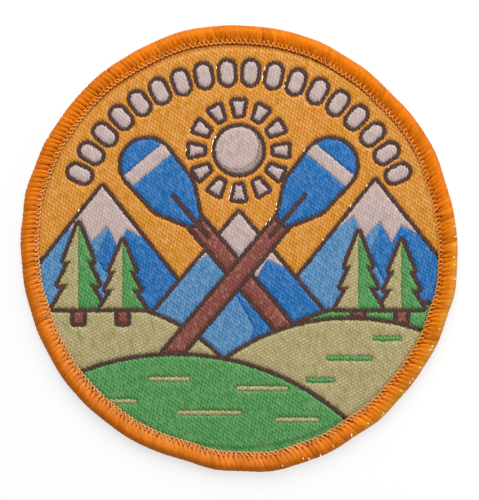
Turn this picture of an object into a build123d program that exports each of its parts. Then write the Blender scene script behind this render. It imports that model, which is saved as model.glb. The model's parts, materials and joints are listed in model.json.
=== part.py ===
from build123d import *

import math
import os

# A round woven badge: a picture woven in coloured yarns, a stiffener, an iron-on film and a merrowed edge.
# Millimetres. The badge lies face up, with +Z out of the picture, +Y to the picture's top and the origin
# at the centre of the plane that the badge lies on.

# Overall sizes
BADGE_DIAMETER = 76.0
CLOTH_THICKNESS = 0.45
STIFFENER_THICKNESS = 0.6
FILM_THICKNESS = 0.15
FILM_MARGIN = 0.5  # from the border's inner tips to the edge of the film

# Merrowed border: one thread wound round the edge of the cloth
BORDER_WIDTH = 3.3  # from the rim to the inner tips of the stitches
WRAP_THICKNESS = 0.65  # thread above and below the cloth
RIM_THICKNESS = 0.7  # thread outside the edge of the cloth
STITCH_COUNT = 280
STITCH_LEAN = 14.0  # degrees that a stitch leans from the radius
GROOVE_DEPTH = 0.15  # between two stitches
TOOTH_DEPTH = 0.35  # how far the inner tips stand out
RIDGE_SETBACK = 1.25  # from the rim to the border's highest line
TIP_SHOULDER = (0.6, 0.24)  # run from the inner tips, drop from the ridge
RIM_SHOULDER = (0.4, 0.3)  # run from the rim, drop from the ridge
RIM_DROP = 0.8  # from the ridge to the upright side of the rim
EDGE_CLEARANCE = 0.05  # between the edge of the cloth and the thread round it

# Picture. Its sizes are those on a badge of this diameter, from its centre, and grow with the badge.
PICTURE_DIAMETER = 76.0
LINE_WIDTH = 0.7
BAR_COUNT = 18
BAR_SIZE = (3.8, 2.2)  # along the radius, across it
BAR_RADIUS = 30.2  # to the middle of a bar
BAR_ARC = 130.0  # degrees from the first bar to the last
SUN_CENTRE = (0.0, 16.8)
SUN_RADIUS = 4.0
SUN_SHADE = 1.2  # width of the shaded crescent
RAY_COUNT = 12
RAY_REACH = (6.1, 8.4)  # from the sun's centre to a ray's two ends
RAY_WIDTH = (0.9, 1.9)  # at those ends
PADDLE_CROSSING = (0.0, -4.5)
PADDLE_LEAN = 40.0  # degrees from upright
SHAFT_WIDTH = 2.5
BLADE_THROAT = (13.0, 1.5)  # distance from the crossing, radius
BLADE_SHOULDER = (18.5, 4.1)
BLADE_TIP = (24.5, 4.4)
BAND_DISTANCE = 24.5  # from the crossing
BAND_WIDTH = 2.4
RIB_LENGTH = 10.0
RIB_WIDTH = 0.8
PINE_FOOT = -10.4
TRUNK_SIZE = (1.5, 5.0)  # width, length
GRASS_WIDTH = 0.8

# Strokes of grass: X, Y, length, yarn
GRASS = [
    (-12.0, -22.6, 7.0, "meadow_weave"),
    (4.0, -24.2, 9.0, "meadow_weave"),
    (-5.0, -28.4, 11.0, "meadow_weave"),
    (10.0, -29.6, 7.5, "meadow_weave"),
    (-20.0, -26.4, 5.0, "meadow_weave"),
    (19.0, -19.0, 8.0, "hill_weave"),
    (25.5, -15.6, 5.0, "hill_weave"),
    (14.0, -22.8, 5.0, "hill_weave"),
]

# Hills in front of the paddles, front to back: X of the top, Y of the top, radius, yarn
NEAR_HILLS = [
    (-11.0, -18.6, 44.0, "hill_weave"),
    (19.0, -12.4, 36.0, "meadow_weave"),
]

# Hills that the pines stand on, in the same columns
FAR_HILLS = [
    (-25.0, -9.8, 30.0, "meadow_weave"),
    (27.0, -9.4, 40.0, "hill_weave"),
]

# Pines: X, height, width
PINES = [
    (-20.0, 11.5, 7.4),
    (-27.6, 14.5, 8.8),
    (20.6, 13.0, 7.8),
    (28.0, 11.5, 7.4),
]

# Tiers of a pine as shares of its height and width: top, foot, width
PINE_TIERS = [
    (1.00, 0.56, 0.56),
    (0.76, 0.28, 0.78),
    (0.50, 0.00, 1.00),
]

# Mountains, front to back: X of the peak, Y of the peak, half width, height
MOUNTAINS = [
    (0.0, 6.0, 22.0, 26.0),
    (-23.5, 10.5, 19.0, 24.0),
    (23.5, 11.5, 20.0, 25.0),
]

# Ridge of a mountain from peak to foot, and lower edge of its snow from left to right, as shares of the
# half width and of the height
RIDGE = [(0.0, 1.0), (0.09, 0.74), (-0.05, 0.50), (0.12, 0.24), (0.04, 0.0)]
SNOW_EDGE = [
    (-0.33, 0.67),
    (-0.19, 0.76),
    (-0.10, 0.60),
    (0.04, 0.72),
    (0.14, 0.57),
    (0.22, 0.69),
    (0.36, 0.64),
]

# Sizes that follow
OUTER_R = BADGE_DIAMETER / 2
INNER_R = OUTER_R - BORDER_WIDTH
CLOTH_R = OUTER_R - RIM_THICKNESS
STIFFENER_Z = WRAP_THICKNESS
CLOTH_Z = STIFFENER_Z + STIFFENER_THICKNESS
FACE_Z = CLOTH_Z + CLOTH_THICKNESS
BORDER_TOP_Z = FACE_Z + WRAP_THICKNESS
PICTURE_SCALE = BADGE_DIAMETER / PICTURE_DIAMETER


def disc(radius, thickness, z):
    """A flat disc on the badge's axis, with its underside at z."""
    return Pos(0, 0, z) * extrude(Circle(radius), thickness)


# Merrowed border


def stitch_outline(groove, tooth):
    """Radius and height round the thread, from the slot's floor out over the rim to the slot's roof."""
    tip_r = INNER_R + tooth
    rim_r = OUTER_R - groove
    top_z = BORDER_TOP_Z - groove
    tip_run, tip_drop = TIP_SHOULDER
    rim_run, rim_drop = RIM_SHOULDER
    upper = [
        (rim_r, top_z - RIM_DROP),
        (rim_r - rim_run, top_z - rim_drop),
        (rim_r - RIDGE_SETBACK, top_z),
        (tip_r + tip_run, top_z - tip_drop),
        (tip_r, FACE_Z),
    ]
    lower = [(r, BORDER_TOP_Z - z) for r, z in reversed(upper)]
    return [*lower, *upper]


def stitch_section(angle, outline):
    """The outline stood across the border at an angle round the badge, leaning as the stitches do."""
    middle_r = (OUTER_R + INNER_R) / 2
    spread = 1 / math.cos(math.radians(STITCH_LEAN))
    turn = math.radians(angle)
    lean = math.radians(angle + STITCH_LEAN)
    across = Plane(
        origin=(middle_r * math.cos(turn), middle_r * math.sin(turn), 0),
        x_dir=(math.cos(lean), math.sin(lean), 0),
        z_dir=(math.sin(lean), -math.cos(lean), 0),
    )
    return [across.from_local_coords(((r - middle_r) * spread, z, 0)) for r, z in outline]


def slot_side(z, tips):
    """A flat side of the slot that holds the cloth, from the slot's end in to the stitches' tips."""
    end = Wire.make_circle(CLOTH_R + EDGE_CLEARANCE, Plane.XY.offset(z))
    return Face(end, [Wire.make_polygon(tips)])


def merrow_border():
    """Stitch beside stitch round the edge: a crown along each stitch and a groove between two."""
    crown = stitch_outline(0, 0)
    groove = stitch_outline(GROOVE_DEPTH, TOOTH_DEPTH)
    sections = [
        stitch_section(k * 180 / STITCH_COUNT, crown if k % 2 else groove)
        for k in range(2 * STITCH_COUNT)
    ]
    wires = [Wire.make_polygon(points, close=False) for points in sections]
    thread = Shell.make_loft([*wires, wires[0]], ruled=True)
    floor = slot_side(STIFFENER_Z, [points[0] for points in sections])
    roof = slot_side(FACE_Z, [points[-1] for points in sections])
    slot = disc(CLOTH_R + EDGE_CLEARANCE, FACE_Z - STIFFENER_Z, STIFFENER_Z)
    slot_end = slot.faces().filter_by(GeomType.CYLINDER)
    return Solid(Shell([*thread.faces(), floor, roof, *slot_end]))


# Motifs of the picture. Each function lists them from front to back, with the yarn of each and, where a
# line runs round it, the yarn of that line.


def grass():
    """Short rounded strokes."""
    return [(yarn, Pos(x, y) * SlotOverall(length, GRASS_WIDTH), None) for x, y, length, yarn in GRASS]


def hills(table):
    """Rounded hilltops that run down out of the picture."""
    return [(yarn, Pos(x, top - r) * Circle(r), "outline_weave") for x, top, r, yarn in table]


def paddle(lean):
    """One paddle, leaning to the right by that many degrees, with its lower end behind the hills."""
    place = Pos(*PADDLE_CROSSING) * Rot(0, 0, -lean)
    throat_y, _ = BLADE_THROAT
    foot_y = -PICTURE_DIAMETER / 2
    shaft = Pos(0, (throat_y + foot_y) / 2) * Rectangle(SHAFT_WIDTH, throat_y - foot_y)
    rounds = [(Pos(0, y) * Circle(r)).edge() for y, r in (BLADE_THROAT, BLADE_SHOULDER, BLADE_TIP)]
    blade = make_hull(rounds)
    band = blade & (Pos(0, BAND_DISTANCE) * Rectangle(PICTURE_DIAMETER, BAND_WIDTH))
    rib = Pos(0, throat_y) * Rot(0, 0, 90) * SlotOverall(RIB_LENGTH, RIB_WIDTH)
    return [
        ("outline_weave", place * rib, None),
        ("blade_band_weave", place * band, None),
        ("paddle_blade_weave", place * blade, "outline_weave"),
        ("paddle_shaft_weave", place * shaft, "outline_weave"),
    ]


def pine(x, height, width):
    """A pine in three tiers, lit from the left, on a short trunk."""
    tiers = [
        Polygon(
            (x, PINE_FOOT + top * height),
            (x - share * width / 2, PINE_FOOT + foot * height),
            (x + share * width / 2, PINE_FOOT + foot * height),
            align=None,
        )
        for top, foot, share in PINE_TIERS
    ]
    tree = tiers[0] + tiers[1] + tiers[2]
    lit_half = Pos(x - width / 2, 0) * Rectangle(width, PICTURE_DIAMETER)
    return [
        ("pine_light_weave", tree & lit_half, None),
        ("pine_weave", tree, "outline_weave"),
        ("trunk_weave", Pos(x, PINE_FOOT) * Rectangle(*TRUNK_SIZE), "outline_weave"),
    ]


def mountain(peak_x, peak_y, half_width, height):
    """A peak with snow on top, a lit left side and a shaded right side."""

    def shape(shares):
        points = [(peak_x + u * half_width, peak_y + (v - 1) * height) for u, v in shares]
        return Polygon(*points, align=None)

    whole = shape([(0, 1), (-1, 0), (1, 0)])
    snow = whole & shape([(-1, 1), *SNOW_EDGE, (1, 1)])
    return [
        ("snow_weave", snow, None),
        ("mountain_light_weave", shape([(-1, 0), *RIDGE[::-1]]), None),
        ("mountain_weave", whole, "outline_weave"),
    ]


def sun():
    """A disc with a shaded crescent, and rays that widen outwards."""
    face = Circle(SUN_RADIUS)
    lit = Pos(-SUN_SHADE / 2, SUN_SHADE / 2) * face
    (near, far), (near_width, far_width) = RAY_REACH, RAY_WIDTH
    ray = Polygon(
        (near, -near_width / 2),
        (far, -far_width / 2),
        (far, far_width / 2),
        (near, near_width / 2),
        align=None,
    )
    place = Pos(*SUN_CENTRE)
    turns = [k * 360 / RAY_COUNT for k in range(RAY_COUNT)]
    rays = [("sun_weave", place * Rot(0, 0, turn) * ray, "outline_weave") for turn in turns]
    return [
        ("sun_shade_weave", place * (face - lit), None),
        ("sun_weave", place * face, "outline_weave"),
        *rays,
    ]


def bars():
    """An arc of rounded bars along the top."""
    turns = [90 + BAR_ARC * (k / (BAR_COUNT - 1) - 0.5) for k in range(BAR_COUNT)]
    bar = Pos(BAR_RADIUS, 0) * SlotOverall(*BAR_SIZE)
    return [("bar_weave", Rot(0, 0, turn) * bar, "outline_weave") for turn in turns]


def picture():
    """All motifs from front to back."""
    made = [*grass(), *hills(NEAR_HILLS), *paddle(PADDLE_LEAN), *paddle(-PADDLE_LEAN)]
    for row in PINES:
        made += pine(*row)
    made += hills(FAR_HILLS)
    for row in MOUNTAINS:
        made += mountain(*row)
    return [*made, *sun(), *bars()]


def woven_areas():
    """Each yarn's share of the face, cut so that the areas meet edge to edge and fill the disc."""
    faces = {}
    free = Sketch() + Circle(CLOTH_R)
    for yarn, motif, line_yarn in picture():
        pieces = [(yarn, motif)]
        if line_yarn:
            pieces.append((line_yarn, offset(motif, LINE_WIDTH, kind=Kind.ARC)))
        for name, outline in pieces:
            region = scale(outline, PICTURE_SCALE)
            shown = free & region
            if shown:
                faces.setdefault(name, []).extend(shown.faces())
                free = free - region
    faces["sky_weave"] = free.faces()
    return {name: Sketch() + shown for name, shown in faces.items()}


def main():
    parts = {
        "stiffener": disc(CLOTH_R, STIFFENER_THICKNESS, STIFFENER_Z),
        "heat_seal_film": disc(INNER_R - FILM_MARGIN, FILM_THICKNESS, STIFFENER_Z - FILM_THICKNESS),
        "merrow_border": merrow_border(),
    }
    for name, area in woven_areas().items():
        parts[name] = Pos(0, 0, CLOTH_Z) * extrude(area, CLOTH_THICKNESS)
    os.makedirs("parts", exist_ok=True)
    for name, shape in parts.items():
        export_step(shape, f"parts/{name}.step")


main()
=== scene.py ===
"""Looks of a round woven badge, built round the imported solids.

The face is woven relief in each yarn's own area, the border is wound strand by strand, and a needle thread
loops round the strands' inner tips on both sides. Metres, in the solids' frame: the face looks along +Z.
"""

import json
import math

import bpy
import numpy as np
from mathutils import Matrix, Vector
from mathutils.bvhtree import BVHTree


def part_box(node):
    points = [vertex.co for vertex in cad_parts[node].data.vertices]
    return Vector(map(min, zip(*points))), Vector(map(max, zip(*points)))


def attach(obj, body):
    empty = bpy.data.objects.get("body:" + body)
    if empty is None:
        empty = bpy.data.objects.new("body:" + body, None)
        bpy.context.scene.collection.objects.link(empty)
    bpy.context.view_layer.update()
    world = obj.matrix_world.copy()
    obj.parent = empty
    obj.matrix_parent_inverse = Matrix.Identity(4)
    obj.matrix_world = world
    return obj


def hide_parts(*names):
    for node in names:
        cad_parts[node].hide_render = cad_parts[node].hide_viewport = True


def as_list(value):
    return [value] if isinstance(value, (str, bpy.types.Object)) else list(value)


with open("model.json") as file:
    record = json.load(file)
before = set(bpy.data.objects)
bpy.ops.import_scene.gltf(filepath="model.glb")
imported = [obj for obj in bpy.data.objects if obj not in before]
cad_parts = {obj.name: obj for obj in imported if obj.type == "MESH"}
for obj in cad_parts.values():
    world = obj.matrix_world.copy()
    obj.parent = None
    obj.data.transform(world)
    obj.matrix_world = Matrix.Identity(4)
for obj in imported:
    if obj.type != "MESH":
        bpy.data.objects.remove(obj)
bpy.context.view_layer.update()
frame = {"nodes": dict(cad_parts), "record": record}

MM = 0.001
SEED = 41
FULL_TURN = 2 * math.pi

# Weave: humps stand on a lattice of two vectors, and the edges of the yarns' areas follow its mesh steps
LATTICE_A = np.array((0.482, -0.351)) * MM
LATTICE_B = np.array((0.138, 0.651)) * MM
LATTICE_STEPS = 4  # mesh steps along each vector
CROSS_WAVE = 0.6  # weight of the wave that runs across both vectors
EDGE_JITTER = 0.5  # in mesh steps, roughness of the areas' edges
EDGE_DIP = 0.14 * MM  # where two yarns meet, and along the dark lines
EDGE_RELIEF = 0.02 * MM  # relief that is left at an edge
EDGE_STEPS = 2  # mesh steps from an edge to the yarn's own relief
PUFF_STEPS = 6  # mesh steps from an edge to a puffed area's full height
SKIRT_DROP = 0.36 * MM  # from the face's level to the foot of an area's edges
UPWARD = 0.5  # least Z of a normal on a solid's upper side

# Binding yarn that comes up between the humps as specks
SPECK_STEPS = [(2, 2), (3, 1)]  # mesh steps of a lattice cell where it may show
BROAD_SPECK_STEPS = [(1, 0), (1, 1), (3, 2), (3, 3)]  # the same where it shows broadly
BROAD_SPECK_SLOT = "pale_green_yarn"  # two yarns mixed, so that the binding yarn shows broadly
SPECK_RISE = 0.03 * MM
SPECK_FADE = 0.5  # how far the faintest specks fall short of their full colour

# Cloth under the yarns
GROUND_LIFT = 0.05 * MM  # ground cloth over the stiffener
GROUND_RINGS = 24
GROUND_SECTORS = 180
TUCK_REACH = 0.8 * MM  # ring of cloth that the needle thread pulls down
TUCK_DEPTH = 0.25 * MM
FACE_OVERLAP = 1.5 * MM  # cloth carried under the border

# Merrowed border
STITCH_COUNT = 280
PITCH = FULL_TURN / STITCH_COUNT  # radians from one stitch to the next
STITCH_LEAN = math.radians(14)
STRAND_WIDTH = 1.42  # in stitch pitches
STRAND_HEIGHT = 0.45 * MM  # crown over the strand's sides, near its tips
CROWN_ROUNDNESS = 0.96  # 1 would make the crown's section a half ellipse
STRAND_BED = 0.07 * MM  # strand under its sides
RIM_SWELL = 0.28  # share of the crown left at the rim, where the strands lie pressed together
LOOSE_SWELL = 0.36  # the same on an arc where they lie looser
LOOSE_WIDTH = 0.84  # of the strands' width there
PRESS_RATE = 1.4  # a strand is pressed as at the rim from 1 / 1.4 of the way there
PLY_COUNT = 3
PLY_HEIGHT = 0.014 * MM
TIP_TAPER = 1.5 * MM  # length over which a strand narrows to its tip
TIP_WIDTH = 0.45  # of the strand's full width
PROFILE_POWER = 1.65  # squareness of the border's section
RIDGE_SETBACK = 1.25 * MM  # from the rim to the border's highest line
CORE_DEPTH = 0.30 * MM  # from the strands' path to the wound thread under them
CORE_CLEARANCE = 0.02 * MM  # between that thread and the cloth's edge
PATH_STEPS = 21  # mesh points along a strand
TOP_POINTS = 9  # mesh points over its section
UNDER_POINTS = 3  # mesh points under it

# How much one strand differs from another
PLACE_SPREAD = 0.045  # in stitch pitches
LEAN_SPREAD = 1.5  # degrees
WIDTH_SPREAD = 0.07  # of the width
LIFT_SPREAD = 0.035 * MM
DRAW_SPREAD = 0.10 * MM  # how far a tip is drawn back towards the rim
BOW_SPREAD = 0.07  # in stitch pitches

# Arcs of the border, in degrees from +X: start, end and the fade inside both ends
LOOSE_ARC = (105, 205, 30)
LOOP_DRAW_ARC = (10, 205, 25)
LOOP_LIFT_ARC = (15, 145, 25)
# painted golden sheen, on the arc that faces the side lamp
PAINTED_GOLD_SHEEN_ARC = (-68, 18, 25)
# painted pale sheen, on the lower arc where the strands' tips face the key light
PAINTED_SHEEN_ARC = (130, 350, 95)

# Slow wander of the border's radius: waves round the badge, share of the radius, phase in degrees
WANDER = [
    (2, 0.0125, 143),
    (4, 0.0024, 335),
    (5, 0.0022, 7),
    (6, 0.0025, 117),
    (7, 0.0015, 203),
    (9, 0.0013, 68),
    (10, 0.0013, 81),
]

# Small lumps of that radius, of every number of waves in a range
LUMP_WAVES = np.arange(11, 31)
LUMP_SHARE = 0.0005  # of the radius, for each number of waves

# Route of a needle loop: place in stitch pitches, radius from the tips and height in millimetres
LOOP_ROUTE = [
    (-0.46, 0.50, 0.04),
    (-0.42, 0.24, 0.05),
    (-0.28, 0.00, 0.10),
    (0.00, -0.10, 0.18),
    (0.30, 0.00, 0.25),
    (0.44, 0.28, 0.34),
    (0.50, 0.62, 0.38),
]
LOOP_RADIUS = 0.13 * MM
LOOP_SINK = 0.6  # of the tuck's depth, where the loops lie on the face
LOOP_DRAW = 0.24 * MM  # how far the loops are drawn outward over the strands' tips on an arc
LOOP_LIFT = 0.14 * MM  # how far they are lifted off the cloth on an arc
FOOT_REACH = 0.32 * MM  # wound thread that shows inside the tips where the loops are lifted
# painted light: the foot is made lighter where it lies in the border's shadow
FOOT_PAINTED_LIGHT = 8.0  # how much lighter it is
LOOP_STEPS = 3  # mesh steps between two points of the route
LOOP_SIDES = 6
LOOP_LENGTH = 2.0  # millimetres of thread in a loop, for its plies

# How much one loop differs from another
LOOP_PLACE_SPREAD = 0.06  # in stitch pitches
LOOP_SKEW = 0.30  # in stitch pitches for each millimetre of the route's radius
LOOP_SKEW_SPREAD = 0.10
LOOP_REACH_SPREAD = 0.12  # of the route's radius

# Painted golden sheen in the strands' outer stretch, and painted pale sheen on their tips and on the loops
PAINTED_GOLD_SHEEN_SHARE = 0.6
PAINTED_GOLD_SHEEN_REACH = 1.4  # in ridge setbacks from the rim
PAINTED_GOLD_SHEEN_SPREAD = 0.35  # from strand to strand
PAINTED_GOLD_SHEEN_MOST = 1.5  # of the usual share
STRAND_PAINTED_SHEEN = 0.22
LOOP_PAINTED_SHEEN = 0.45

# Metal filament that shows as short glints
GLINT_LENGTH = 0.5 * MM
GLINT_SIZES = (0.6, 1.4)  # of that length
GLINT_WIDTH = 0.14 * MM
GLINT_ENDS = 1.1  # over 1 leaves the rounded ends a little blunt
GLINT_BOW = 0.03 * MM
GLINT_POINTS = (6, 4)  # mesh points along and across
GLINT_SLOPE = np.array((-0.06, -0.45))  # faces about half way from straight up to the key light
GLINT_SLOPE_SPREAD = 0.14
GLINT_TURN_SPREAD = 0.12  # radians
GLINT_ROWS = 16  # places on the face with a row of glints
GLINT_ROW_REACH = 2.2 * MM
GLINT_SHARE = 0.5  # of the mesh steps in such a row
BORDER_GLINTS = 30
BORDER_GLINT_ARC = (-80, 10)  # degrees round the border
BORDER_GLINT_RISE = (0.7, 1.3)  # radians up the border's section from its rim
BORDER_GLINT_LIFT = 0.02 * MM  # over the strands' path

# Colours of the yarns by slot: their own, painted shade in the pits, painted highlight on the humps, and
# of the binding yarn's specks
YARN_COLOURS = {
    "orange_yarn": ((221, 148, 56), (192, 118, 35), (244, 180, 88), (240, 186, 106)),
    "dark_yarn": ((80, 54, 48), (64, 42, 38), (104, 76, 68), (136, 110, 100)),
    "pale_yarn": ((203, 181, 176), (184, 160, 155), (214, 193, 188), (170, 144, 138)),
    "taupe_yarn": ((166, 145, 129), (132, 110, 97), (190, 170, 154), (196, 178, 164)),
    "brown_yarn": ((142, 80, 69), (114, 60, 52), (162, 98, 85), (214, 178, 150)),
    "green_yarn": ((90, 156, 88), (54, 118, 62), (118, 178, 110), (166, 200, 142)),
    "pale_green_yarn": ((168, 164, 104), (138, 138, 80), (188, 178, 126), (240, 196, 182)),
    "blue_yarn": ((42, 116, 184), (26, 86, 152), (72, 140, 200), (122, 174, 216)),
    "light_blue_yarn": ((88, 142, 187), (60, 115, 168), (126, 168, 200), (168, 198, 218)),
}
LINE_SLOT = "dark_yarn"  # lies sunk between the areas

# Build of the yarns by slot: share of places with a speck, relief and puff in millimetres
YARN_BUILD = {
    "orange_yarn": (0.25, 0.066, 0.02),
    "dark_yarn": (0.22, 0.040, 0.00),
    "pale_yarn": (0.30, 0.024, 0.04),
    "taupe_yarn": (0.30, 0.035, 0.06),
    "brown_yarn": (0.24, 0.040, 0.08),
    "green_yarn": (0.35, 0.045, 0.05),
    "pale_green_yarn": (0.90, 0.045, 0.05),
    "blue_yarn": (0.35, 0.045, 0.05),
    "light_blue_yarn": (0.45, 0.050, 0.03),
}

# Finish that most materials share
DULL_SPECULAR = 0.22
SHEEN_ROUGHNESS = 0.4
FIBRE_DETAIL = 3.0
NOISE_MIDDLE = 0.5

# Finish of the yarns
OWN_COLOUR_RELIEF = 0.45  # height between pit and hump at which a yarn has its own colour
HUMP_TONE = 0.05  # how much lighter one hump is than another
HUMP_GREYING = 0.025  # how much greyer the lighter humps are
FIBRE_DEPTH = 0.4  # how strongly fibres darken and lighten a yarn

# Finish of the border's threads
THREAD_COLOUR = (236, 123, 8)
THREAD_SHADE = (189, 76, 2)
THREAD_TONE = 0.085  # how much lighter one strand is than another
# The core is darker than the thread it is wound of: painted shade for the holes between the strands' tips
CORE_PAINTED_SHADE_COLOUR = (184, 80, 10)
CORE_PAINTED_SHADE_DARKER = (146, 58, 5)
# how strongly the painted light lightens the core's foot
CORE_PAINTED_LIGHT_DEPTH = 0.05
LOOP_COLOUR = (246, 168, 82)
LOOP_SHADE = (231, 136, 46)
LOOP_TONE = 0.05
# colours of the painted golden sheen and of the painted pale sheen
PAINTED_GOLD_SHEEN_COLOUR = (228, 162, 50)
PAINTED_SHEEN_COLOUR = (226, 186, 142)
LUSTRE_LEVEL = 0.80  # of the thread, whose dyed fibres tint what they reflect
LUSTRE_COLOUR = (255, 216, 84)
THREAD_ROUGHNESS = 0.42
RUBBED_ROUGHNESS = 0.60  # where the shine is rubbed off
RUBBED_FROM = 0.8  # millimetres along a strand from its tip, where that begins
RUBBED_TO = 1.8  # and where it is complete
PLY_NOISE_STRETCH = (3.2, 0.7, 7.3)  # across a strand, along it and from one to the next
PLY_NOISE_SCALE = 1.6
PLY_NOISE_DETAIL = 4.0
BLOTCH_SIZE = 2.6 * MM
BLOTCH_DEPTH = 0.35

# Finish of the filament and the back
GLINT_COLOUR = (255, 236, 190)
GLINT_SHADE = (244, 204, 132)
FELT_COLOUR = (232, 228, 219)
FELT_SHADE = (206, 200, 190)
FILM_COLOUR = (226, 226, 220)
FILM_SHADE = (208, 208, 202)

# Picture
PHOTO_SIZE = (479, 500)
PHOTO_CENTRE = (238.8, 248.0)  # pixel at the badge's middle
PHOTO_SCALE = 0.172 * MM  # a pixel on the badge's face
LENS = 100.0  # millimetres of focal length
SENSOR = 36.0  # millimetres along the picture's longer side

# Lamps: name, place, size, power
LAMPS = [
    ("key", (-0.02, 0.36, 0.31), 0.42, 2.42),
    ("side", (0.42, 0.0, 0.17), 0.18, 0.65),
]

# Surroundings
WORLD_LEVEL = 0.28
FLOOR_LEVEL = 0.36
FLOOR_LIFT = 0.68  # glow that makes the floor white where it is seen directly
FLOOR_SIZE = 4.0
FLOOR_DROP = 0.02 * MM

# Sockets of the node that mixes two colours
MIX_SHARE = 0
MIX_FIRST = 6
MIX_SECOND = 7
MIX_RESULT = 2

# Measures of the solids
face_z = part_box("sky_weave")[1].z
stiffener_low, stiffener_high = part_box("stiffener")
border_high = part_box("merrow_border")[1]
border_mesh = frame["nodes"]["merrow_border"].data
outer_r = border_high.x
inner_r = min(math.hypot(v.co.x, v.co.y) for v in border_mesh.vertices)
middle_r = (outer_r + inner_r) / 2
cloth_r = stiffener_high.x

rng = np.random.default_rng(SEED)
lump_phases = rng.uniform(0, FULL_TURN, len(LUMP_WAVES))


# Helpers


def linear(colour):
    """An sRGB colour of three bytes as linear RGBA."""
    parts = [c / 255 for c in colour]
    return (*[p / 12.92 if p <= 0.04045 else ((p + 0.055) / 1.055) ** 2.4 for p in parts], 1.0)


def smooth(x):
    """0 below 0, 1 above 1 and an even S between."""
    x = np.clip(x, 0, 1)
    return x * x * (3 - 2 * x)


def polar(radius, angle, height):
    """Points from their radius, their angle round the badge and their height."""
    parts = np.broadcast_arrays(radius * np.cos(angle), radius * np.sin(angle), height)
    return np.stack(parts, axis=-1)


def by_strand(values):
    """Values of the strands, along the first axis of strand, step and side."""
    return np.reshape(values, (-1, 1, 1))


def by_step(values):
    """Values along a strand, along the second axis of strand, step and side."""
    return np.reshape(values, (1, -1, 1))


def by_side(values):
    """Values round a strand, along the third axis of strand, step and side."""
    return np.reshape(values, (1, 1, -1))


def grid_cells(shape):
    """Numbers of the points at the corners of each cell in a grid of points."""
    number = np.arange(shape[0] * shape[1]).reshape(shape)
    return np.stack([number[:-1, :-1], number[1:, :-1], number[1:, 1:], number[:-1, 1:]], axis=-1)


def tube_faces(shape):
    """Quads and end caps of tubes whose points have a strand, a step and a side."""
    index = np.arange(math.prod(shape)).reshape(shape)
    turned = np.roll(index, -1, axis=2)
    quads = np.stack([index[:, :-1], turned[:, :-1], turned[:, 1:], index[:, 1:]], axis=-1)
    return [*quads.reshape(-1, 4).tolist(), *index[:, 0, ::-1].tolist(), *index[:, -1].tolist()]


def make_object(name, points, faces, material, flat_faces=0, **values):
    """A mesh from arrays, its last faces flat-shaded, with named values spread over its points."""
    points = np.asarray(points)
    mesh = bpy.data.meshes.new(name)
    mesh.from_pydata(points.reshape(-1, 3), [], faces)
    is_smooth = np.arange(len(faces)) < len(faces) - flat_faces
    mesh.polygons.foreach_set("use_smooth", is_smooth)
    for key, data in values.items():
        attribute = mesh.attributes.new(key, "FLOAT", "POINT")
        spread = np.broadcast_to(data, points.shape[:-1])
        attribute.data.foreach_set("value", spread.astype(np.float32).ravel())
    mesh.materials.append(material)
    mesh.validate()
    made = bpy.data.objects.new(name, mesh)
    bpy.context.scene.collection.objects.link(made)
    return made


# Materials


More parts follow.
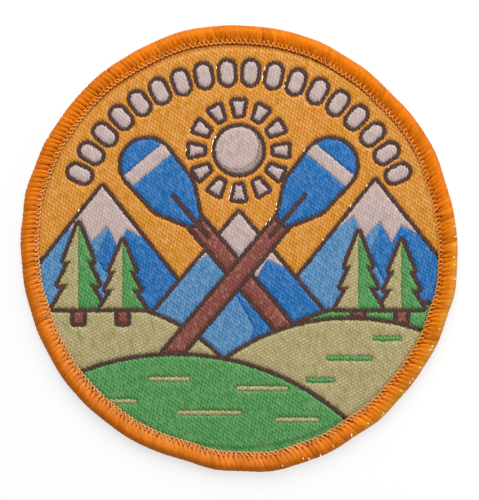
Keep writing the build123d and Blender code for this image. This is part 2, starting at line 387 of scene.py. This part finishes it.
class Finish:
    """A material that is put together node by node round its shader."""

    def __init__(self, name, roughness, sheen=0.0, specular=DULL_SPECULAR):
        self.material = bpy.data.materials.new(name)
        self.material.use_nodes = True
        self.tree = self.material.node_tree
        self.shader = self.tree.nodes["Principled BSDF"]
        self.put("Roughness", roughness)
        self.put("Sheen Weight", sheen)
        self.put("Sheen Roughness", SHEEN_ROUGHNESS)
        self.put("Specular IOR Level", specular)

    def feed(self, socket, source):
        """Links a socket to another node's, or sets it to a plain value."""
        if isinstance(source, bpy.types.NodeSocket):
            self.tree.links.new(source, socket)
        else:
            socket.default_value = source

    def put(self, name, source):
        """Feeds one of the shader's sockets."""
        self.feed(self.shader.inputs[name], source)

    def add(self, kind, links=(), **settings):
        """A new node with its settings and with the sources of its sockets."""
        node = self.tree.nodes.new(kind)
        for key, value in settings.items():
            setattr(node, key, value)
        for socket, source in links:
            self.feed(node.inputs[socket], source)
        return node

    def computed(self, operation, *sources):
        """The outcome of one step of arithmetic."""
        return self.add("ShaderNodeMath", enumerate(sources), operation=operation).outputs["Value"]

    def stored(self, name):
        """A value stored on the mesh."""
        return self.add("ShaderNodeAttribute", attribute_name=name).outputs["Fac"]

    def ramp(self, source, stops):
        """Colours along a value from 0 to 1, each at its place."""
        node = self.add("ShaderNodeValToRGB", [("Fac", source)])
        elements = node.color_ramp.elements
        while len(elements) < len(stops):
            elements.new(1.0)
        for element, (place, colour) in zip(elements, stops):
            element.position = place
            element.color = linear(colour)
        return node.outputs["Color"]

    def noise(self, place, stretch, scale, detail, turn=0.0):
        """Noise over places that are turned and stretched."""
        links = [("Vector", place), ("Rotation", (0, 0, turn)), ("Scale", stretch)]
        turned = self.add("ShaderNodeMapping", links).outputs["Vector"]
        links = [("Vector", turned), ("Scale", scale), ("Detail", detail)]
        return self.add("ShaderNodeTexNoise", links).outputs["Fac"]

    def fibres(self, size, stretch=(1, 1, 1), turn=0.0):
        """Noise of a size over the mesh, drawn out along one direction as fibres lie in a yarn."""
        place = self.add("ShaderNodeTexCoord").outputs["Object"]
        return self.noise(place, stretch, 1 / size, FIBRE_DETAIL, turn)

    def varied(self, colour, *causes, saturation=1.0):
        """A colour whose brightness follows causes: each a value, its middle and its depth."""
        level = 1.0
        for source, middle, depth in causes:
            part = self.computed("MULTIPLY_ADD", source, depth, 1 - middle * depth)
            level = self.computed("MULTIPLY", level, part)
        links = [("Color", colour), ("Value", level), ("Saturation", saturation)]
        return self.add("ShaderNodeHueSaturation", links).outputs["Color"]

    def mixed(self, share, first, second):
        """A share of a plain colour in one that varies."""
        links = [(MIX_SHARE, share), (MIX_FIRST, first), (MIX_SECOND, linear(second))]
        return self.add("ShaderNodeMix", links, data_type="RGBA").outputs[MIX_RESULT]

    def bump(self, source, strength, height):
        """Tilts the shader's normals by a value as if it were height."""
        links = [("Height", source), ("Strength", strength), ("Distance", height)]
        self.put("Normal", self.add("ShaderNodeBump", links).outputs["Normal"])

    def seen_directly(self):
        """1 for what is seen straight, in a reflection or through something clear, else 0."""
        path = self.add("ShaderNodeLightPath").outputs
        mirrored = self.computed("MAXIMUM", path["Is Camera Ray"], path["Is Glossy Ray"])
        return self.computed("MAXIMUM", mirrored, path["Is Transmission Ray"])


def yarn_material(slot):
    """Woven yarn: painted shade in the pits, painted highlight on the humps, a tone for each hump, and
    fine fibres.
    """
    own, pit_painted_shade, hump_painted_highlight, speck = YARN_COLOURS[slot]
    finish = Finish(slot, roughness=0.62, sheen=0.06)
    run = LATTICE_A - LATTICE_B
    fibres = finish.fibres(size=0.07 * MM, stretch=(0.25, 1, 1), turn=-math.atan2(run[1], run[0]))
    # the relief picks the colour: painted shade in the pits, painted highlight on the humps
    relief = finish.ramp(finish.stored("relief"), [(0, pit_painted_shade), (OWN_COLOUR_RELIEF, own), (1, hump_painted_highlight)])
    woven = finish.mixed(finish.stored("speck"), relief, speck)
    tone = finish.stored("tone")
    saturation = finish.computed("MULTIPLY_ADD", tone, -HUMP_GREYING, 1.0)
    causes = [(tone, 0.0, HUMP_TONE), (fibres, NOISE_MIDDLE, FIBRE_DEPTH)]
    finish.put("Base Color", finish.varied(woven, *causes, saturation=saturation))
    finish.bump(fibres, strength=0.35, height=0.02 * MM)
    return finish.material


def thread_material(name, light, shade, tone_depth, rubbed=False):
    """Floss thread: fine plies along the strand, a tone for each strand, slow blotches, and painted golden
    and pale sheen.
    """
    finish = Finish(name, THREAD_ROUGHNESS, specular=LUSTRE_LEVEL)
    finish.put("Specular Tint", linear(LUSTRE_COLOUR))
    along = finish.stored("along")
    parts = [("X", finish.stored("across")), ("Y", along), ("Z", finish.stored("strand"))]
    place = finish.add("ShaderNodeCombineXYZ", parts).outputs["Vector"]
    plies = finish.noise(place, PLY_NOISE_STRETCH, PLY_NOISE_SCALE, PLY_NOISE_DETAIL)
    thread = finish.ramp(plies, [(0.25, shade), (0.62, light)])
    # painted sheen: gold and pale tints mixed in where the lamps catch the thread
    thread = finish.mixed(finish.stored("gilt"), thread, PAINTED_GOLD_SHEEN_COLOUR)
    thread = finish.mixed(finish.stored("dust"), thread, PAINTED_SHEEN_COLOUR)
    tone = (finish.stored("tone"), 0.0, tone_depth)
    blotch = (finish.fibres(BLOTCH_SIZE), NOISE_MIDDLE, BLOTCH_DEPTH)
    finish.put("Base Color", finish.varied(thread, tone, blotch))
    finish.bump(plies, strength=0.5, height=0.05 * MM)
    if rubbed:
        stretch = [("Value", along), ("From Min", RUBBED_FROM), ("From Max", RUBBED_TO)]
        levels = [("To Min", THREAD_ROUGHNESS), ("To Max", RUBBED_ROUGHNESS)]
        finish.put("Roughness", finish.add("ShaderNodeMapRange", stretch + levels).outputs["Result"])
    return finish.material


def glint_material():
    """Flat metal filament."""
    finish = Finish("glint_filament", roughness=0.22)
    finish.put("Metallic", 0.6)
    scratches = finish.fibres(size=0.05 * MM, stretch=(0.2, 1, 1))
    finish.put("Base Color", finish.ramp(scratches, [(0.2, GLINT_SHADE), (0.6, GLINT_COLOUR)]))
    return finish.material


def felt_material():
    """Pressed felt of the stiffener."""
    finish = Finish("stiffener_felt", roughness=0.9, sheen=0.3)
    fluff = finish.fibres(size=0.18 * MM, stretch=(1, 0.3, 1))
    finish.put("Base Color", finish.ramp(fluff, [(0.3, FELT_SHADE), (0.65, FELT_COLOUR)]))
    finish.bump(fluff, strength=0.6, height=0.06 * MM)
    return finish.material


def film_material():
    """Milky hot-melt film with a faint crinkle."""
    finish = Finish("heat_seal_film", roughness=0.28)
    crinkle = finish.fibres(size=1.3 * MM)
    finish.put("Base Color", finish.ramp(crinkle, [(0.25, FILM_SHADE), (0.7, FILM_COLOUR)]))
    finish.bump(crinkle, strength=0.35, height=0.25 * MM)
    return finish.material


def floor_material():
    """A floor that keeps its shadows, and glows to white only where it is seen directly."""
    finish = Finish("floor", roughness=0.9, specular=0.0)
    finish.put("Base Color", (FLOOR_LEVEL, FLOOR_LEVEL, FLOOR_LEVEL, 1))
    plain = finish.shader.outputs["BSDF"]
    glow = finish.add("ShaderNodeEmission", [("Strength", FLOOR_LIFT)]).outputs["Emission"]
    lifted = finish.add("ShaderNodeAddShader", [(0, plain), (1, glow)]).outputs["Shader"]
    links = [(0, finish.seen_directly()), (1, plain), (2, lifted)]
    shown = finish.add("ShaderNodeMixShader", links).outputs["Shader"]
    finish.feed(finish.tree.nodes["Material Output"].inputs["Surface"], shown)
    return finish.material


# Woven face


def yarn_nodes():
    """The woven areas' nodes, each with its slot in the record."""
    rows = frame["record"]["subparts"]
    return [(row["node"], row["material_slot"]) for row in rows if row["material_slot"] in YARN_COLOURS]


def area_finder(nodes):
    """A function that gives the number of the woven area under a point of the face, or -1."""
    points, polygons, owners = [], [], []
    for number, (node, _) in enumerate(nodes):
        mesh = frame["nodes"][node].data
        first = len(points)
        points += [v.co for v in mesh.vertices]
        for polygon in mesh.polygons:
            if polygon.normal.z > UPWARD:
                polygons.append([first + k for k in polygon.vertices])
                owners.append(number)
    tree = BVHTree.FromPolygons(points, polygons)
    down = Vector((0, 0, -1))

    def find(x, y):
        hit = tree.ray_cast(Vector((x, y, 2 * face_z)), down)[2]
        return -1 if hit is None else owners[hit]

    return find


def lattice(i, j):
    """The place of a mesh step on the face."""
    return tuple((i * LATTICE_A[k] + j * LATTICE_B[k]) / LATTICE_STEPS for k in (0, 1))


def weave_grid(nodes):
    """Lattice points of the face, and the woven area of each mesh cell between them."""
    reach = inner_r + FACE_OVERLAP
    cell_area = np.abs(LATTICE_A[0] * LATTICE_B[1] - LATTICE_A[1] * LATTICE_B[0])
    half_i = math.ceil(reach * np.hypot(*LATTICE_B) / cell_area * LATTICE_STEPS)
    half_j = math.ceil(reach * np.hypot(*LATTICE_A) / cell_area * LATTICE_STEPS)
    i, j = np.meshgrid(np.arange(-half_i, half_i + 1), np.arange(-half_j, half_j + 1), indexing="ij")
    find = area_finder(nodes)
    areas = np.full((2 * half_i, 2 * half_j), -1)
    jitter = 0.5 + EDGE_JITTER * rng.uniform(-1, 1, (*areas.shape, 2))
    for row, column in np.ndindex(areas.shape):
        x, y = lattice(row - half_i + jitter[row, column, 0], column - half_j + jitter[row, column, 1])
        if math.hypot(x, y) < reach:
            areas[row, column] = find(x, y)
    return i, j, areas


def steps_from_edges(areas):
    """Mesh steps from each lattice point to the nearest edge of its area, up to the puff's reach."""
    padded = np.pad(areas, 1, constant_values=-1)
    corners = np.stack([padded[:-1, :-1], padded[1:, :-1], padded[:-1, 1:], padded[1:, 1:]])
    steps = np.where((corners == corners[0]).all(axis=0), PUFF_STEPS, 0)
    for _ in range(PUFF_STEPS):
        around = np.pad(steps, 1, mode="edge")
        sides = [around[:-2, 1:-1], around[2:, 1:-1], around[1:-1, :-2], around[1:-1, 2:]]
        steps = np.minimum(steps, np.min(sides, axis=0) + 1)
    return steps


def weave_relief(i, j):
    """Height at each lattice point, from 0 in the deepest pit to 1 on the humps."""
    phase_a = FULL_TURN * i / LATTICE_STEPS
    phase_b = FULL_TURN * j / LATTICE_STEPS
    waves = np.cos(phase_a) + np.cos(phase_b) + CROSS_WAVE * np.cos(phase_a + phase_b)
    return (waves - waves.min()) / (waves.max() - waves.min())


def cell_count(i):
    """Lattice cells along both vectors, with one to spare at each end."""
    return i.shape[0] // LATTICE_STEPS + 2, i.shape[1] // LATTICE_STEPS + 2


def hump_tones(i, j):
    """A random tone at each lattice point, the same all over one hump."""
    humps = rng.normal(0, 1, cell_count(i))
    row = (i - i.min() + LATTICE_STEPS // 2) // LATTICE_STEPS
    column = (j - j.min() + LATTICE_STEPS // 2) // LATTICE_STEPS
    return humps[row, column]


def at_steps(i, j, places):
    """True where a lattice point is one of some places in its cell."""
    return np.any([(i % LATTICE_STEPS == a) & (j % LATTICE_STEPS == b) for a, b in places], axis=0)


def speck_lots(i, j):
    """Lots from 0 to 1 where a speck may show and 1 elsewhere, for common specks and for broad ones."""
    lots = rng.uniform(0, 1, cell_count(i))
    row, column = i // LATTICE_STEPS, j // LATTICE_STEPS
    next_row = (i + 1) // LATTICE_STEPS
    common = np.where(at_steps(i, j, SPECK_STEPS), lots[row, column], 1)
    broad = np.where(at_steps(i, j, BROAD_SPECK_STEPS), lots[next_row, column], 1)
    return common, broad


def relief_piece(node, mine, corners, place, values, material):
    """The relief of one area with a skirt round its edges."""
    around = np.pad(mine, 1)
    sides = [
        (around[1:-1, :-2], 0, 1),
        (around[2:, 1:-1], 1, 2),
        (around[1:-1, 2:], 2, 3),
        (around[:-2, 1:-1], 3, 0),
    ]
    edges = np.concatenate([corners[mine & ~other][:, [a, b]] for other, a, b in sides])
    kept, quads = np.unique(corners[mine], return_inverse=True)
    quads = quads.reshape(-1, 4)
    rim, edges = np.unique(edges, return_inverse=True)
    edges = edges.reshape(-1, 2)
    x, y, z = (part.ravel() for part in place)
    top = np.stack([x[kept], y[kept], z[kept]], axis=1)
    foot = np.stack([x[rim], y[rim], np.full(len(rim), face_z - SKIRT_DROP)], axis=1)
    upper = np.searchsorted(kept, rim)[edges]
    lower = len(kept) + edges
    skirt = np.stack([upper[:, 1], upper[:, 0], lower[:, 0], lower[:, 1]], axis=1)
    both = np.concatenate([kept, rim])
    return make_object(
        node.replace("_weave", "_yarn"),
        np.concatenate([top, foot]),
        [*quads.tolist(), *skirt.tolist()],
        material,
        flat_faces=len(skirt),
        **{key: value.ravel()[both] for key, value in values.items()},
    )


def build_face():
    """One piece of relief for each woven area."""
    nodes = yarn_nodes()
    i, j, areas = weave_grid(nodes)
    x, y = lattice(i, j)
    relief = weave_relief(i, j)
    tone = hump_tones(i, j)
    common_lots, broad_lots = speck_lots(i, j)
    steps = steps_from_edges(areas)
    inside = smooth(steps / EDGE_STEPS)
    puffed = smooth(steps / PUFF_STEPS)
    tuck = TUCK_DEPTH * smooth(1 + (np.hypot(x, y) - inner_r) / TUCK_REACH)
    corners = grid_cells(i.shape)
    materials = {slot: yarn_material(slot) for slot in YARN_COLOURS}
    made = []
    for index, (node, slot) in enumerate(nodes):
        share, height, puff = YARN_BUILD[slot]
        climb = 0 if slot == LINE_SLOT else inside
        base = face_z - EDGE_DIP * (1 - climb) - tuck
        lots = broad_lots if slot == BROAD_SPECK_SLOT else common_lots
        speck = np.where((lots < share) & (steps > 0), 1 - SPECK_FADE * lots / share, 0)
        depth = EDGE_RELIEF * (1 - inside) + height * MM * inside
        z = base + depth * (relief - 0.5) + puff * MM * puffed + SPECK_RISE * speck
        values = {"relief": relief, "tone": tone, "speck": speck}
        piece = relief_piece(node, areas == index, corners, (x, y, z), values, materials[slot])
        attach(piece, "root")
        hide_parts(node)
        made.append(piece)
    return made, (x, y, areas, nodes)


def build_ground(pieces):
    """The ground cloth that the yarns float on, cut round and laid on the stiffener."""
    rings, sectors = GROUND_RINGS, GROUND_SECTORS
    height = stiffener_high.z + GROUND_LIFT
    points = [(0, 0, height)]
    for ring in range(1, rings + 1):
        for sector in range(sectors):
            turn = FULL_TURN * sector / sectors
            radius = cloth_r * ring / rings
            points.append((radius * math.cos(turn), radius * math.sin(turn), height))
    faces = [(0, 1 + k, 1 + (k + 1) % sectors) for k in range(sectors)]
    for ring in range(rings - 1):
        first = 1 + ring * sectors
        for k in range(sectors):
            after = (k + 1) % sectors
            faces.append((first + k, first + sectors + k, first + sectors + after, first + after))
    cloth = make_object("ground_cloth", points, faces, felt_material())
    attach(cloth, "root")
    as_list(pieces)


# Merrowed border


def wander(turn):
    """Share by which the border's radius departs from a true circle."""
    slow = sum(share * np.cos(waves * turn + math.radians(phase)) for waves, share, phase in WANDER)
    lumps = sum(np.cos(waves * turn + phase) for waves, phase in zip(LUMP_WAVES, lump_phases))
    return slow + LUMP_SHARE * lumps


def on_arc(turn, arc):
    """1 on an arc of the border, falling to 0 at its ends."""
    start, end, fade = arc
    from_middle = (np.degrees(turn) - (start + end) / 2 + 180) % 360 - 180
    return smooth(((end - start) / 2 - np.abs(from_middle)) / fade)


def tip_angle(height):
    """The angle at which the section's inner side comes down to a height."""
    half_h = border_high.z / 2
    share = (height - half_h) / half_h
    return math.pi - math.asin(abs(share) ** (PROFILE_POWER / 2))


def border_angles():
    """Angles round the border's ridge, from the strands' tips on the face to those on the back."""
    return np.linspace(tip_angle(face_z), -tip_angle(border_high.z - stiffener_low.z), PATH_STEPS)


def border_profile(angle):
    """Radius and height of the border's section at an angle round its ridge, and its outward normal."""
    half_h = border_high.z / 2
    power = 2 / PROFILE_POWER
    cosine, sine = np.cos(angle), np.sin(angle)
    ridge_r = outer_r - RIDGE_SETBACK
    inner_w = (ridge_r - inner_r) / abs(math.cos(tip_angle(face_z))) ** power
    half_w = np.where(cosine < 0, inner_w, RIDGE_SETBACK)
    r = ridge_r + half_w * np.sign(cosine) * np.abs(cosine) ** power
    z = half_h + half_h * np.sign(sine) * np.abs(sine) ** power
    across = np.sign(cosine) * np.abs(cosine) ** (2 - power) / half_w
    up = np.sign(sine) * np.abs(sine) ** (2 - power) / half_h
    normal = np.stack([across, up])
    return r, z, normal / np.linalg.norm(normal, axis=0)


def strand_traits():
    """Each strand's own angle, lean, width, lift, drawn tip, bow and tone."""
    count = STITCH_COUNT
    turn = (np.arange(count) + 0.5 + rng.normal(0, PLACE_SPREAD, count)) * PITCH
    lean = np.tan(STITCH_LEAN + np.radians(rng.normal(0, LEAN_SPREAD, count)))
    width = STRAND_WIDTH * (1 + rng.normal(0, WIDTH_SPREAD, count)) * PITCH
    lift = rng.normal(0, LIFT_SPREAD, count)
    draw = np.abs(rng.normal(0, DRAW_SPREAD, count))
    bow = rng.normal(0, BOW_SPREAD, count) * PITCH
    tone = rng.normal(0, 1, count)
    return turn, lean, width, lift, draw, bow, tone


def strand_section():
    """Places under a strand from side to side and back over it, with its rise and its bed at each."""
    top = np.linspace(1, -1, TOP_POINTS)
    under = np.linspace(-1, 1, UNDER_POINTS + 2)[1:-1]
    plies = PLY_HEIGHT * np.cos(math.pi * PLY_COUNT * top)
    crown = STRAND_HEIGHT * (np.sqrt(1 - CROWN_ROUNDNESS * top**2) - 1) + plies
    side = np.concatenate([under, top])
    rise = np.concatenate([np.full(UNDER_POINTS, -STRAND_HEIGHT), crown])
    bed = np.concatenate([np.full(UNDER_POINTS, -STRAND_BED), np.zeros(TOP_POINTS)])
    return side, rise, bed


def strand_rings(r, z, normal, section, traits):
    """Rings of points along the strands, from their path over the border, their section and traits."""
    side, rise, bed = section
    turn, lean, width, lift, draw, bow, _ = traits
    from_tip = smooth((r - inner_r) / TIP_TAPER)
    from_inside = (r - inner_r) / (outer_r - inner_r)
    loose = on_arc(turn, LOOSE_ARC)
    rim_swell = RIM_SWELL + (LOOSE_SWELL - RIM_SWELL) * loose
    swell = 1 - (1 - rim_swell) * smooth(PRESS_RATE * from_inside)
    height = (rise + lift) * swell + bed
    width = width * (1 - (1 - LOOSE_WIDTH) * loose)
    width = width * (TIP_WIDTH + (1 - TIP_WIDTH) * from_tip)
    path_r = r + draw * (1 - from_tip)
    from_middle = path_r - middle_r
    bowed = bow * (1 - (from_middle / (outer_r - middle_r)) ** 2)
    angle = turn + lean * from_middle / middle_r + bowed + side * width / 2
    radius = (path_r + by_step(normal[0]) * height) * (1 + wander(angle))
    level = np.maximum(z + by_step(normal[1]) * height, 0)
    return polar(radius, angle, level)


def strand_tints(r, turn, tone):
    """Shares of painted golden sheen in the strands' outer stretch and of painted pale sheen towards their
    tips.
    """
    gold_sheen_share = on_arc(turn, PAINTED_GOLD_SHEEN_ARC) * np.clip(1 + PAINTED_GOLD_SHEEN_SPREAD * tone, 0, PAINTED_GOLD_SHEEN_MOST)
    outside = smooth((r - (outer_r - PAINTED_GOLD_SHEEN_REACH * RIDGE_SETBACK)) / RIDGE_SETBACK)
    from_rim = (outer_r - r) / (outer_r - inner_r)
    return PAINTED_GOLD_SHEEN_SHARE * gold_sheen_share * outside, STRAND_PAINTED_SHEEN * on_arc(turn, PAINTED_SHEEN_ARC) * from_rim**2


def build_strands():
    """Leaning strands wound over the edge from the face's side to the back."""
    r, z, normal = border_profile(border_angles())
    travel = np.concatenate([[0], np.cumsum(np.hypot(np.diff(r), np.diff(z)))])
    r, z = by_step(r), by_step(z)
    section = [by_side(values) for values in strand_section()]
    traits = [by_strand(values) for values in strand_traits()]
    turn, tone = traits[0], traits[-1]
    rings = strand_rings(r, z, normal, section, traits)
    # shares of painted golden sheen and painted pale sheen
    gilt, dust = strand_tints(r, turn, tone)
    strands = make_object(
        "border_strands",
        rings,
        tube_faces(rings.shape[:3]),
        thread_material("border_thread", THREAD_COLOUR, THREAD_SHADE, THREAD_TONE, rubbed=True),
        tone=tone,
        across=section[0],
        along=by_step(travel / MM),
        strand=by_strand(np.arange(STITCH_COUNT)),
        gilt=gilt,
        dust=dust,
    )
    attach(strands, "root")
    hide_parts("merrow_border")


def build_core():
    """The wound thread under the outer strands, closed round the cloth's edge."""
    r, z, normal = border_profile(border_angles())
    r_inside = np.maximum(r - normal[0] * CORE_DEPTH, r[0])
    z_inside = z - normal[1] * CORE_DEPTH
    z_inside[0] = face_z
    z_inside[-1] = stiffener_low.z
    edge_r = cloth_r + CORE_CLEARANCE
    section_r = np.concatenate([r_inside, [edge_r, edge_r]])
    section_z = np.concatenate([z_inside, [stiffener_low.z, face_z]])

    count = 2 * STITCH_COUNT
    turns = np.arange(count)[:, None] * PITCH / 2
    footed = on_arc(turns, LOOP_LIFT_ARC)
    radius = section_r * (1 + wander(turns))
    level = np.tile(section_z, (count, 1))
    radius[:, :1] -= FOOT_REACH * footed
    level[:, :1] -= TUCK_DEPTH * footed
    index = np.arange(radius.size).reshape(radius.shape)
    beside, above = np.roll(index, -1, axis=0), np.roll(index, -1, axis=1)
    faces = np.stack([index, above, np.roll(beside, -1, axis=1), beside], axis=-1)
    core = make_object(
        "border_core",
        polar(radius, turns, level),
        faces.reshape(-1, 4).tolist(),
        # colours darkened as painted shade in the holes between the tips
        thread_material("border_core", CORE_PAINTED_SHADE_COLOUR, CORE_PAINTED_SHADE_DARKER, CORE_PAINTED_LIGHT_DEPTH),
        # painted light on the foot, where it lies in the border's shadow
        tone=FOOT_PAINTED_LIGHT * footed,
        across=0,
        along=0,
        strand=np.arange(count)[:, None],
    )
    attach(core, "root")


def through(points, steps):
    """A smooth line through points, with so many steps between two of them."""
    points = np.asarray(points, float)
    ends = np.concatenate([[2 * points[0] - points[1]], points, [2 * points[-1] - points[-2]]])
    line = []
    for before, start, end, after in zip(ends, ends[1:], ends[2:], ends[3:]):
        second = 2 * before - 5 * start + 4 * end - after
        third = 3 * start - before - 3 * end + after
        for share in np.arange(steps) / steps:
            line.append((2 * start + (end - before) * share + second * share**2 + third * share**3) / 2)
    return np.array([*line, points[-1]])


def rings_round(line, radius, sides):
    """Rings of points round lines, at angles about each line from beside it to above it."""
    ahead = np.gradient(line, axis=1)
    ahead /= np.linalg.norm(ahead, axis=-1, keepdims=True)
    beside = np.cross(ahead, (0, 0, 1.0))
    beside /= np.linalg.norm(beside, axis=-1, keepdims=True)
    above = np.cross(beside, ahead)
    return line + radius * (np.cos(sides)[..., None] * beside + np.sin(sides)[..., None] * above)


def loop_traits():
    """Each loop's own angle, skew, reach and tone."""
    count = STITCH_COUNT
    turn = (np.arange(count) + 1 + rng.normal(0, LOOP_PLACE_SPREAD, count)) * PITCH
    skew = rng.normal(LOOP_SKEW, LOOP_SKEW_SPREAD, count)
    reach = rng.normal(1, LOOP_REACH_SPREAD, count)
    tone = rng.normal(0, 1, count)
    return turn, skew, reach, tone


def build_loops(name, surface, up, material):
    """Loops of the needle thread round the strands' tips, on one side of the badge."""
    turn, skew, reach, tone = map(by_strand, loop_traits())
    place, depth, height = map(by_step, through(LOOP_ROUTE, LOOP_STEPS).T)
    angle = turn + (place + skew * depth) * PITCH
    radius = inner_r + depth * reach * MM + LOOP_DRAW * on_arc(turn, LOOP_DRAW_ARC)
    level = surface + up * (height * MM + LOOP_LIFT * on_arc(turn, LOOP_LIFT_ARC))
    line = polar(radius * (1 + wander(angle)), angle, level)
    sides = by_side(np.arange(LOOP_SIDES) * FULL_TURN / LOOP_SIDES)
    rings = rings_round(line, LOOP_RADIUS, sides)
    loops = make_object(
        f"needle_loops_{name}",
        rings,
        tube_faces(rings.shape[:3]),
        material,
        tone=tone,
        across=np.cos(sides),
        along=by_step(np.linspace(0, LOOP_LENGTH, rings.shape[1])),
        strand=by_strand(np.arange(STITCH_COUNT)),
        # painted pale sheen on the loops of the lower arc
        dust=LOOP_PAINTED_SHEEN * on_arc(turn, PAINTED_SHEEN_ARC),
    )
    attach(loops, "root")


def build_needle_thread():
    """The needle thread's loops on the face and on the back."""
    material = thread_material("needle_thread", LOOP_COLOUR, LOOP_SHADE, LOOP_TONE)
    build_loops("face", face_z - LOOP_SINK * TUCK_DEPTH, 1, material)
    build_loops("back", stiffener_low.z, -1, material)


# Glints


def face_glints(x, y, areas, nodes):
    """Short rows on the ground beside dark lines that run with the warp, each glint with its direction."""
    names = [node for node, _ in nodes]
    ground = areas == names.index("sky_weave")
    line = areas == names.index("outline_weave")
    beside = ground[:-1] & line[1:]
    run = beside[:, 1:-1] & beside[:, 2:] & beside[:, :-2]
    px, py = x[1:-1, 2:-1][run], y[1:-1, 2:-1][run]
    clear = np.hypot(px, py) < inner_r - TUCK_REACH
    px, py = px[clear], py[clear]
    seeds = rng.choice(len(px), GLINT_ROWS, replace=False)
    near = np.hypot(px[:, None] - px[seeds], py[:, None] - py[seeds]).min(axis=1) < GLINT_ROW_REACH
    kept = near & (rng.uniform(0, 1, len(px)) < GLINT_SHARE)
    turns = math.atan2(LATTICE_B[1], LATTICE_B[0]) + rng.normal(0, GLINT_TURN_SPREAD, kept.sum())
    return [(a, b, face_z, turn) for a, b, turn in zip(px[kept], py[kept], turns)]


def border_glints():
    """Places near the rim on the border's lower right, each with its direction."""
    turns = np.radians(rng.uniform(*BORDER_GLINT_ARC, BORDER_GLINTS))
    r, z, normal = border_profile(rng.uniform(*BORDER_GLINT_RISE, BORDER_GLINTS))
    radius = (r + normal[0] * BORDER_GLINT_LIFT) * (1 + wander(turns))
    level = z + normal[1] * BORDER_GLINT_LIFT
    return list(zip(radius * np.cos(turns), radius * np.sin(turns), level, turns))


def build_glints(grid):
    """Short lengths of flat metal filament, each tilted its own way."""
    spots = face_glints(*grid) + border_glints()
    along, across = np.meshgrid(*(np.linspace(-1, 1, count) for count in GLINT_POINTS), indexing="ij")
    quads = grid_cells(GLINT_POINTS).reshape(-1, 4)
    points, faces = [], []
    for px, py, pz, turn in spots:
        size = rng.uniform(*GLINT_SIZES)
        slope = GLINT_SLOPE + rng.normal(0, GLINT_SLOPE_SPREAD, 2)
        ahead = along * size * GLINT_LENGTH / 2
        aside = across * GLINT_WIDTH / 2 * np.sqrt(GLINT_ENDS - along**2)
        dx = ahead * math.cos(turn) - aside * math.sin(turn)
        dy = ahead * math.sin(turn) + aside * math.cos(turn)
        rise = GLINT_BOW * (1 - along**2) * (1 - across**2) + slope[0] * dx + slope[1] * dy
        place = [px + dx, py + dy, pz + rise]
        faces += (quads + len(points)).tolist()
        points += np.stack(place, axis=-1).reshape(-1, 3).tolist()
    glints = make_object("metal_filament", points, faces, glint_material())
    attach(glints, "root")


# Back


def dress_back():
    """Felt and film on the solids of the back."""
    for node, material in (("stiffener", felt_material()), ("heat_seal_film", film_material())):
        mesh = frame["nodes"][node].data
        mesh.materials.clear()
        mesh.materials.append(material)


# Stage


def build_floor():
    """A wide floor just under the badge."""
    half = FLOOR_SIZE / 2
    corners = [(-half, -half), (half, -half), (half, half), (-half, half)]
    points = [(x, y, -FLOOR_DROP) for x, y in corners]
    floor = make_object("floor", points, [(0, 1, 2, 3)], floor_material())


def build_light():
    """Square lamps turned to the badge, and an even white sky."""
    for name, place, size, power in LAMPS:
        lamp_data = bpy.data.lights.new(name, "AREA")
        lamp_data.size = size
        lamp_data.energy = power
        lamp = bpy.data.objects.new(name, lamp_data)
        lamp.location = place
        lamp.rotation_euler = Vector(place).to_track_quat("Z", "Y").to_euler()
        bpy.context.scene.collection.objects.link(lamp)
    world = bpy.data.worlds.new("studio")
    world.use_nodes = True
    sky = world.node_tree.nodes["Background"]
    sky.inputs["Color"].default_value = (1, 1, 1, 1)
    sky.inputs["Strength"].default_value = WORLD_LEVEL
    bpy.context.scene.world = world


def build_camera():
    """The camera straight above, where the picture has the badge's middle and size."""
    camera_data = bpy.data.cameras.new("camera")
    camera_data.lens = LENS
    camera_data.sensor_width = SENSOR
    camera = bpy.data.objects.new("camera", camera_data)
    width, height = PHOTO_SIZE
    distance = height * PHOTO_SCALE * LENS / SENSOR
    across = (width / 2 - PHOTO_CENTRE[0]) * PHOTO_SCALE
    up = (PHOTO_CENTRE[1] - height / 2) * PHOTO_SCALE
    camera.location = (across, up, face_z + distance)
    bpy.context.scene.collection.objects.link(camera)
    bpy.context.scene.camera = camera
    bpy.context.scene.view_settings.view_transform = "Standard"


build_floor()
build_light()
build_camera()
face_pieces, face_grid = build_face()
build_ground(face_pieces)
build_strands()
build_core()
build_needle_thread()
build_glints(face_grid)
dress_back()
